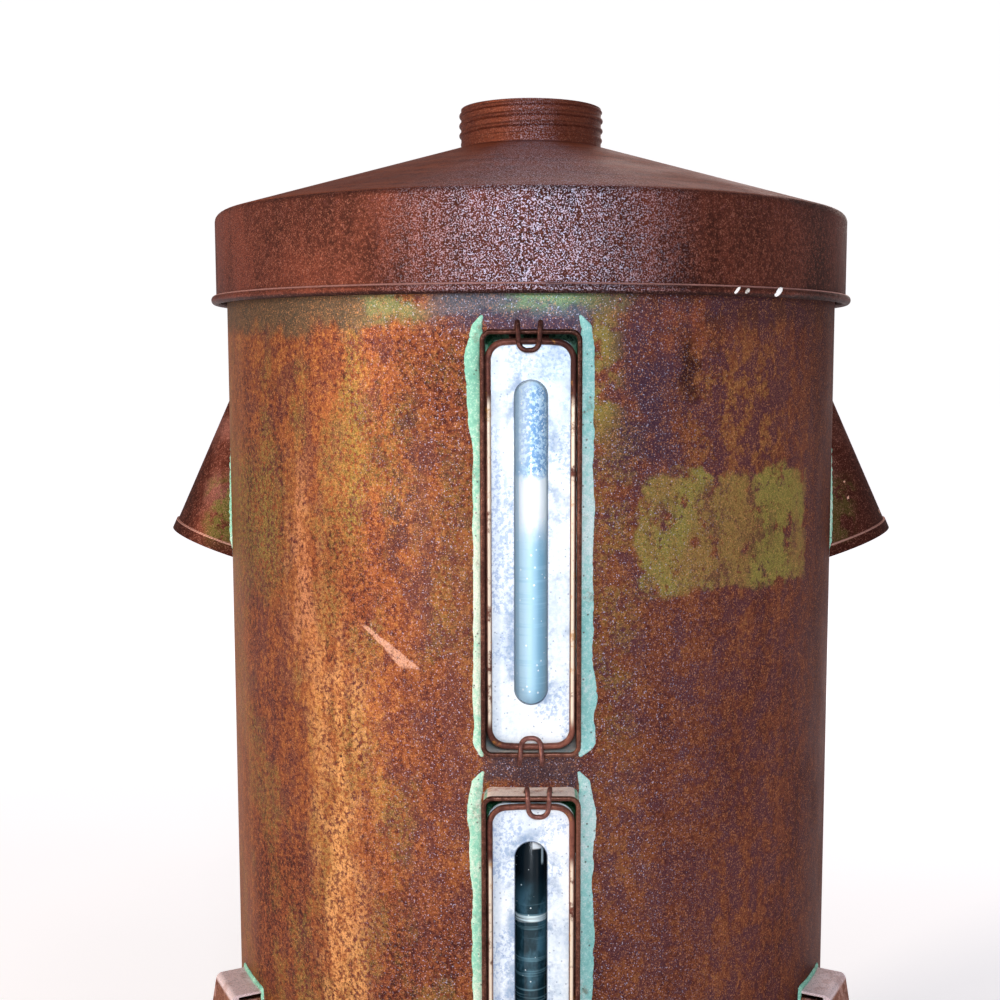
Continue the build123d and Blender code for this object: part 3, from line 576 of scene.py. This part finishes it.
def cover_enamel():
    """White metal, mottled blue grey by damp."""
    s = Copper("cover enamel")
    s.skin("BCCCDC", "D8E2EC", "ECF2F8")
    cloudy = s.step(s.noise(38.0, 3.0, 0.5), 0.42, 0.56)
    s.lay(s.times(s.step(s.coarse, 0.45, 0.58), cloudy), "88A4CC", 0.75)
    rightwards = s.step(s.axis("X"), -0.012, 0.012, 0.4, 1.0)
    s.lay(s.times(s.step(s.edge, 0.52, 0.66), rightwards), "90A8C4", 0.65)
    s.lay(s.step(s.cells(420.0), 0.2, 0.1), "506890", 0.5)
    for low, high in WINDOWS.values():
        near = slot_distance(s, low, high)
        s.lay(s.times(s.step(near, 0.006, 0.001), s.step(s.edge, 0.46, 0.6)), "7890B0", 0.7)
        # Painted shade: a thin dark line round each slot, where its edge would be in shade.
        s.lay(s.step(near, 0.00045, 0.0002), "1E3450", 0.85)
    s.bump(s.plus(s.coarse, s.edge), 0.0001)
    return s.finish(s.colour, s.step(s.edge, 0.4, 0.6, 0.35, 0.6), 0.15)


def upper_gauge_glass():
    """Pale blue, beaded with drops near the top and stained towards the bottom, with painted highlights:
    a white band across the middle, paler to the left and near white at the top left; it glows faintly as
    painted light. It is opaque.
    """
    s = Copper("upper gauge glass")
    top = WINDOWS["upper"][1].z
    height = s.plus(s.axis("Z"), s.times(s.math("SUBTRACT", s.edge, 0.5), 0.02))
    right = s.step(s.axis("X"), -0.0045, 0.005)
    # Painted highlight: paler towards the left of the tube; teal to the right.
    stain_and_highlight = s.mix(right, "B8D8E8", "5C9CBC")
    # Painted highlight: white across the middle of the tube.
    s.colour = s.mix(s.step(height, top - 0.068, top - 0.09), "FFFFFF", stain_and_highlight)
    s.colour = s.mix(s.step(height, top - 0.062, top - 0.056), s.colour, "B4D4EC")
    drops = s.step(s.cells(750.0), 0.42, 0.3)
    # Painted highlight: near white at the top left of the tube.
    clear = s.times(s.step(s.axis("Z"), top - 0.056, top - 0.05), s.step(s.axis("X"), 0.002, -0.002))
    s.lay(clear, "ECF4FA", 0.7)
    wet = s.times(s.band(s.axis("Z"), top - 0.058, top - 0.022, 0.002),
                  s.step(s.axis("X"), -0.006, 0.002, 0.25, 1.0))
    s.lay(s.times(wet, s.step(s.coarse, 0.42, 0.54)), "2474B8", 0.9)
    s.lay(s.times(wet, drops, s.step(s.grain, 0.5, 0.6)), "F4FAFF", 0.9)
    s.lay(s.step(s.cells(330.0), 0.17, 0.1), "FFFFFF", 0.95)
    s.lay(s.step(s.axis("X"), -0.0044, -0.0052), "6C9CC0", 0.5)
    wavy = s.noise(60.0, 3.0, 0.6, stretch=(0.3, 0.3, 9))
    s.lay(s.times(s.step(wavy, 0.5, 0.64), s.step(height, top - 0.075, top - 0.1)), "88BCD4", 0.5)
    s.bump(s.noise(420.0, 2.0, 0.5), 0.00008)
    # Painted light: the glass glows faintly, though no lamp is inside it.
    return s.finish(s.colour, 0.16, 0.0, Emission_Color=rgba("C8E4F8"), Emission_Strength=0.22)


def lower_gauge_glass():
    """Dark liquid with a scum line at its surface, and a bright reflection. It is opaque."""
    s = Copper("lower gauge glass")
    top = WINDOWS["lower"][1].z
    line_z = top - 0.054
    smoky = s.noise(90.0, 4.0, 0.6, stretch=(1, 1, 0.6))
    wavy = s.noise(60.0, 3.0, 0.6, stretch=(0.3, 0.3, 9))
    murk = s.mix(s.step(smoky, 0.42, 0.62), "16303A", "40687A")
    s.colour = s.mix(s.step(s.axis("Z"), line_z + 0.02, line_z + 0.004), "0C1820", murk)
    s.lay(s.times(s.step(wavy, 0.52, 0.64), s.step(s.axis("Z"), line_z + 0.01, line_z)), "6C98A8", 0.6)
    scum = s.times(s.band(s.axis("Z"), line_z - 0.0014, line_z + 0.0016, 0.0003),
                   s.step(wavy, 0.44, 0.54))
    s.lay(scum, "D8ECF2", 0.9)
    s.lay(s.step(s.cells(260.0), 0.1, 0.06), "C8DCE4", 0.8)
    # Painted reflection: a white patch near the top right, with a paler strip below it at the tube's
    # right edge.
    shine_top = top - 0.0195
    shine = s.times(s.band(s.axis("X"), 0.0006, 0.0044, 0.0003),
                    s.band(s.axis("Z"), shine_top - 0.0045, shine_top, 0.0004), s.step(s.edge, 0.6, 0.5))
    s.lay(shine, "F4FAFF", 0.9)
    s.lay(s.times(s.band(s.axis("X"), 0.0042, 0.005, 0.0002),
                  s.band(s.axis("Z"), shine_top - 0.011, shine_top - 0.003, 0.001)), "C8DCE8", 0.8)
    s.bump(s.noise(420.0, 2.0, 0.5), 0.00006)
    return s.finish(s.colour, 0.22, 0.0, Specular_IOR_Level=0.3)


def brass():
    """The tap and the gauge fittings."""
    s = Copper("aged brass")
    s.skin("4E3A1E", "7C6232", "A88850")
    s.lay(s.step(s.edge, 0.58, 0.66), "5E8068", 0.6)
    s.speckle("2C2012", "E0C890", 0.35)
    return s.sheet_metal(0.34, 0.85)


def rubber():
    """The sleeves round the gauge tubes' ends."""
    s = Copper("seal rubber")
    s.skin("1C1A1A", "2A2726", "3A3634")
    s.bump(s.coarse, 0.0001)
    return s.finish(s.colour, s.step(s.coarse, 0.3, 0.7, 0.6, 0.8), 0.0)


def fibre():
    """The sealing washers."""
    s = Copper("fibre washer")
    s.skin("4A1E18", "6E2C22", "8A4030")
    s.bump(s.noise(700.0, 3.0, 0.6, stretch=(1, 1, 6)), 0.0001)
    return s.finish(s.colour, s.step(s.coarse, 0.3, 0.7, 0.7, 0.85), 0.0)


# ---- Meshes ----

def mesh_piece(name, rows, material, body, closed_ring=False):
    """A solid strip: rows of points, each row a closed loop round the strip's section."""
    mesh = bpy.data.meshes.new(name)
    build = bmesh.new()
    loops = [[build.verts.new(point) for point in row] for row in rows]
    pairs = list(zip(loops, loops[1:]))
    if closed_ring:
        pairs.append((loops[-1], loops[0]))
    for near, far in pairs:
        count = len(near)
        for place in range(count):
            after = (place + 1) % count
            build.faces.new((near[place], near[after], far[after], far[place]))
    if not closed_ring:
        build.faces.new(loops[0])
        build.faces.new(list(reversed(loops[-1])))
    bmesh.ops.recalc_face_normals(build, faces=build.faces)
    for face in build.faces:
        face.smooth = True
    build.to_mesh(mesh)
    build.free()
    mesh.materials.append(material)
    piece = bpy.data.objects.new(name, mesh)
    bpy.context.scene.collection.objects.link(piece)
    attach(piece, body)
    return piece


def wall_point(along, height, proud):
    """A point on the tank wall: metres round it from the front, and out from its face."""
    angle = along / BODY_R
    radius = BODY_R + proud
    return Vector((radius * math.sin(angle), -radius * math.cos(angle), height))


def spaced(route, step):
    """Points about a step apart along straight runs."""
    points = []
    for start, end in zip(route, route[1:]):
        count = max(1, round((end - start).length / step))
        points += [start.lerp(end, place / count) for place in range(count)]
    return points + [route[-1]]


def uneven(point, scale, layer):
    """Smooth noise at a point of the wall."""
    return noise.noise(Vector((point.x * scale, point.y * scale, layer)))


def crust(name, route, thickness, material):
    """A run of solder and verdigris on the wall: (round, height, width) along its route."""
    points = spaced([Vector(point) for point in route], CRUST_STEP)
    rows = []
    for place, point in enumerate(points):
        before = points[max(0, place - 1)].xy
        after = points[min(len(points) - 1, place + 1)].xy
        ahead = (after - before).normalized()
        side = Vector((-ahead.y, ahead.x))
        ends = min(1.0, (place + 0.6) / CRUST_TAPER, (len(points) - place - 0.4) / CRUST_TAPER)
        half = point.z / 2
        swell = [half * (1 + CRUST_RAGGED * (uneven(point, 150, edge) + 0.5 * uneven(point, 600, edge)))
                 for edge in (3.0, 9.0)]
        drift = CRUST_WANDER * point.z * uneven(point, 60, 5.0)
        row = []
        for share in CRUST_ACROSS:
            reach = swell[0] if share < 0 else swell[1]
            spot = point.xy + side * (drift + share * reach * ends ** 0.5)
            lump = 1 + 0.5 * uneven(spot, 500, 1.0)
            proud = thickness * (1 - abs(share) ** 3) * ends * lump
            row.append(wall_point(spot.x, spot.y, proud if abs(share) < 1 else -CRUST_ROOT))
        back = [wall_point(*(point.xy + side * (drift + share * half * ends ** 0.5)), -2 * CRUST_ROOT)
                for share in (0.4, -0.4)]
        rows.append(row + back)
    return mesh_piece(name, rows, material, "tank")


def window_crusts(materials):
    """Beside each window, wide at its top corner, narrow down its side, wide again below."""
    for name, (low, high) in WINDOWS.items():
        for side, word in ((-1, "left"), (1, "right")):
            top, middle, bottom = CRUST_WIDTHS[name + "_" + word]
            wall = high.x - 0.0004

            def beside(height, width, shift=0.0):
                return (side * (wall + width / 2 + shift), height, width)

            route = [beside(high.z + 0.0058, 0.0030, -0.0016), beside(high.z + 0.001, 0.0048),
                     beside(high.z - 0.010, top), beside(high.z - 0.026, top * 0.96),
                     beside(high.z - 0.048, middle), beside(low.z + 0.040, middle),
                     beside(low.z + 0.022, bottom), beside(low.z + 0.010, bottom * 0.85),
                     beside(low.z + 0.002, bottom), beside(low.z - 0.004, 0.0034, -0.0012)]
            crust(name + "_" + word + "_crust", route, 0.0007, materials[word])


def hood_crust(side, material):
    """Along the seam between a hood and the tank wall."""
    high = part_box(side + "_hood")[1]
    tip_z = high.z
    half_w = high.y
    sign = 1 if side == "right" else -1
    root_z = RIM_Z - HOOD_ROOT_DOWN
    last = math.asin(half_w / BODY_R) * 0.97
    slope = half_w / (tip_z - root_z)
    route = []
    for place in range(-SEAM_COUNT, SEAM_COUNT + 1):
        turn = last * place / SEAM_COUNT
        drop = BODY_R * math.sin(abs(turn)) / slope
        drop = math.hypot(drop, SEAM_TIP_GAP)
        width = 0.0034 + 0.003 * abs(place / SEAM_COUNT) ** 3
        route.append((sign * (math.pi / 2 * BODY_R + BODY_R * turn), tip_z - drop + 0.0016, width))
    return crust(side + "_hood_crust", route, 0.0011, material)


def leg_crust(name, material):
    """Along the folded top of a leg, and down both its sides."""
    low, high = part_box(name + "_leg")
    centre = Vector(((low.x + high.x) / 2, (low.y + high.y) / 2))
    along = math.atan2(centre.x, -centre.y) * BODY_R
    half = LEG_W / 2 + 0.0006
    top = high.z + 0.0006
    width = 0.0034
    route = [(along - half, top - 0.02, width), (along - half, top, width),
             (along + half, top, width), (along + half, top - 0.02, width)]
    return crust(name + "_leg_crust", route, 0.0008, material)


def threaded_neck(material):
    """The filler neck with a real helical thread."""
    outer = NECK_HIGH.x
    root = outer - THREAD_DEPTH
    bore = root - NECK_WALL
    first = NECK_HIGH.z - THREAD_TURNS * THREAD_PITCH
    last = NECK_HIGH.z - 0.0008
    rows = []
    for step in range(NECK_SIDES):
        angle = 2 * math.pi * step / NECK_SIDES
        ring = []
        for level in range(NECK_LEVELS + 1):
            z = NECK_LOW.z + (NECK_HIGH.z - NECK_LOW.z) * level / NECK_LEVELS
            turns = (z - first) / THREAD_PITCH
            phase = turns - angle / (2 * math.pi)
            crest = max(0.0, math.cos(2 * math.pi * phase)) ** 0.7
            fade = min(1.0, max(0.0, turns + 0.4), max(0.0, (last - z) / 0.0007))
            dent = 0.00012 * noise.noise(Vector((math.cos(angle), math.sin(angle), z * 60)) * 2)
            ring.append((root + (outer - root - 0.00015) * crest * fade + dent, z))
        ring += [(bore, NECK_HIGH.z), (bore, NECK_LOW.z)]
        rows.append([Vector((r * math.sin(angle), -r * math.cos(angle), z)) for r, z in ring])
    neck = mesh_piece("threaded_neck", rows, material, "lid", closed_ring=True)
    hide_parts("lid_neck")
    return neck


def glass_tube(window, material):
    """A smooth gauge glass in place of the faceted one."""
    node = window + "_gauge_tube"
    low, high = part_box(node)
    middle = (low + high) / 2
    outer = (high.x - low.x) / 2
    inner = outer - TUBE_WALL
    lip = TUBE_WALL / 3
    section = [(inner, low.z), (outer - lip, low.z), (outer, low.z + lip), (outer, high.z - lip),
               (outer - lip, high.z), (inner, high.z)]
    rows = []
    for step in range(TUBE_SIDES):
        angle = 2 * math.pi * step / TUBE_SIDES
        across = Vector((math.sin(angle), -math.cos(angle), 0))
        rows.append([Vector((middle.x, middle.y, z)) + across * radius for radius, z in section])
    tube = mesh_piece(window + "_gauge_glass", rows, material, "tank", closed_ring=True)
    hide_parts(node)
    return tube


def bent_wire(node, body, material, sway):
    """The CAD wire, bent by hand: the same wire, a little out of true."""
    piece = bpy.data.objects.new(node + "_bent", NODES[node].data.copy())
    for vertex in piece.data.vertices:
        spot = vertex.co * 38
        vertex.co.x += sway * noise.noise(spot + Vector((11, 0, 0)))
        vertex.co.z += sway * 0.6 * noise.noise(spot + Vector((0, 29, 0)))
    piece.data.materials.clear()
    piece.data.materials.append(material)
    bpy.context.scene.collection.objects.link(piece)
    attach(piece, body)
    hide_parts(node)
    return piece


def blob(name, centre, out, size, material, body, seed):
    """A flattened lump of paint or water on a surface, with an uneven outline."""
    across = out.orthogonal().normalized()
    up = out.cross(across)
    rows = []
    for level in range(BLOB_LEVELS + 1):
        lift = math.pi / 2 * (level + 0.02) / (BLOB_LEVELS + 0.2)
        row = []
        for step in range(BLOB_SIDES):
            angle = 2 * math.pi * step / BLOB_SIDES
            wobble = 1 + 0.35 * noise.noise(Vector((math.cos(angle), math.sin(angle), seed)) * 1.3)
            flat = (across * math.cos(angle) * size[0] + up * math.sin(angle) * size[1]) * wobble
            row.append(centre + flat * math.cos(lift) + out * size[2] * math.sin(lift))
        rows.append(row)
    return mesh_piece(name, rows, material, body)


def paint_specks(material):
    """Spots of white paint along the lid's rolled edge."""
    for number, (degrees, length, height) in enumerate(
            ((32.5, 0.0022, 0.0007), (34.6, 0.0016, 0.0009), (41.5, 0.0032, 0.0013))):
        turn = math.radians(degrees)
        out = Vector((math.sin(turn), -math.cos(turn), 0))
        centre = out * (WIRE_HIGH.x + 0.0006)
        centre.z = RIM_Z
        blob(f"paint_speck_{number}", centre, out, (length, height, 0.0004), material, "lid",
             number * 3.7)


# ---- Stage ----

def make_floor():
    """Pale, and glowing a little away from the object, so that no horizon shows."""
    s = Shader("pale floor")
    tone = s.noise(1.5, 2.0, 0.5)
    colour = s.ramp(tone, (0.35, "F2F0F2"), (0.65, "FAF8FA"))
    glow = s.step(s.radius(), 0.25, 2.2, 0.3, 0.74)
    material = s.finish(colour, 0.7, 0.0, Emission_Color=rgba("FCFAFF"), Emission_Strength=glow)
    bpy.ops.mesh.primitive_plane_add(size=30, location=(0, 0, 0))
    floor = bpy.context.object
    floor.name = "floor"
    floor.data.materials.append(material)


def area_light(name, place, aim, size, power, colour):
    data = bpy.data.lights.new(name, "AREA")
    data.shape = "RECTANGLE"
    data.size, data.size_y = size
    data.energy = power
    data.color = colour
    lamp = bpy.data.objects.new(name, data)
    bpy.context.scene.collection.objects.link(lamp)
    lamp.location = place
    lamp.rotation_euler = (Vector(aim) - Vector(place)).to_track_quat("-Z", "Y").to_euler()


def make_lights():
    """A warm light at the left, a small cool one by the camera, and two weak ones."""
    middle = (0, 0, 0.42)
    area_light("key", (-1.55, -1.05, 0.85), middle, (0.3, 1.3), 27, (1.0, 0.85, 0.68))
    area_light("flash", (0.02, -0.8, 0.64), (0, 0, 0.5), (0.1, 0.1), 2.4, (0.82, 0.9, 1.0))
    area_light("fill", (1.5, -1.2, 1.0), middle, (1.0, 1.0), 2.5, (1.0, 0.93, 0.95))
    area_light("back", (0.6, 1.9, 1.3), middle, (1.2, 1.2), 10, (1.0, 0.97, 0.94))


def make_world():
    """A white room, brighter to look at than to be lit by."""
    world = bpy.data.worlds.new("white room")
    bpy.context.scene.world = world
    world.use_nodes = True
    nodes = world.node_tree.nodes
    links = world.node_tree.links
    nodes.clear()
    output = nodes.new("ShaderNodeOutputWorld")
    blend = nodes.new("ShaderNodeMixShader")
    seen = nodes.new("ShaderNodeLightPath").outputs["Is Camera Ray"]
    links.new(seen, blend.inputs["Fac"])
    for strength, socket in ((ROOM_LIGHT, blend.inputs[1]), (ROOM_SEEN, blend.inputs[2])):
        room = nodes.new("ShaderNodeBackground")
        room.inputs["Color"].default_value = (1.0, 0.985, 1.0, 1.0)
        room.inputs["Strength"].default_value = strength
        links.new(room.outputs["Background"], socket)
    links.new(blend.outputs["Shader"], output.inputs["Surface"])


# ---- Putting it together ----

def paint(node, material):
    """Puts a material on a CAD node."""
    data = NODES[node].data
    data.materials.clear()
    data.materials.append(material)


def main():
    make_camera()
    make_world()
    make_lights()
    make_floor()
    tank = tank_copper()
    lid = lid_copper()
    hood = hood_copper()
    leg = leg_copper()
    tray = tray_copper()
    mint = verdigris("mint verdigris", "CCDCCC", "8CCCB4", "68AC98")
    pale = verdigris("pale verdigris", "C8DCDC", "94CCC8", "70B4B0")
    rim_wire = wire_metal("rim wire", "2A1612", "442620", "6A4438")
    frame_wire = frame_wire_metal()
    clip_wire = wire_metal("clip wire", "2E1A18", "4C2C28", "78504A")
    cover = cover_enamel()
    metal = brass()
    black = rubber()
    red = fibre()
    glass = {"upper": upper_gauge_glass(), "lower": lower_gauge_glass()}

    for node in ("tank_shell", "base_pan"):
        paint(node, tank)
    for node in ("lid_shell", "lid_rim_wire", "tank_rim_wire"):
        paint(node, lid)
    for side in ("left", "right"):
        paint(side + "_hood", hood)
        hood_crust(side, mint)
    for name in ("left", "right", "rear"):
        paint(name + "_leg", leg)
        paint(name + "_foot_plate", leg)
        leg_crust(name, mint)
    for name in WINDOWS:
        paint(name + "_window_tray", tray)
        paint(name + "_rim_wire", rim_wire)
        paint(name + "_plate_rests", tray)
        paint(name + "_cover_plate", cover)
        glass_tube(name, glass[name])
        bent_wire(name + "_wire_frame", "tank", frame_wire, 0.0005)
        for end in ("top", "bottom"):
            paint(name + "_" + end + "_clip", clip_wire)
            paint(name + "_" + end + "_socket", metal)
        paint(name + "_tube_sleeves", black)
        paint(name + "_stub_washers", red)
        paint(name + "_stub_nuts", metal)
    for node in ("tap_body", "tap_plug", "tap_lever", "tap_lever_screw", "tap_plug_washer",
                 "tap_plug_nut", "tap_nut"):
        paint(node, metal)
    paint("tap_washer", red)
    paint("tap_inner_washer", red)
    window_crusts({"left": mint, "right": pale})
    threaded_neck(lid)
    paint_specks(verdigris("white paint", "FFFFFF", "F4F0EE", "E4DCD8"))


bpy.context.scene.view_settings.view_transform = "Standard"
main()
bpy.context.view_layer.update()
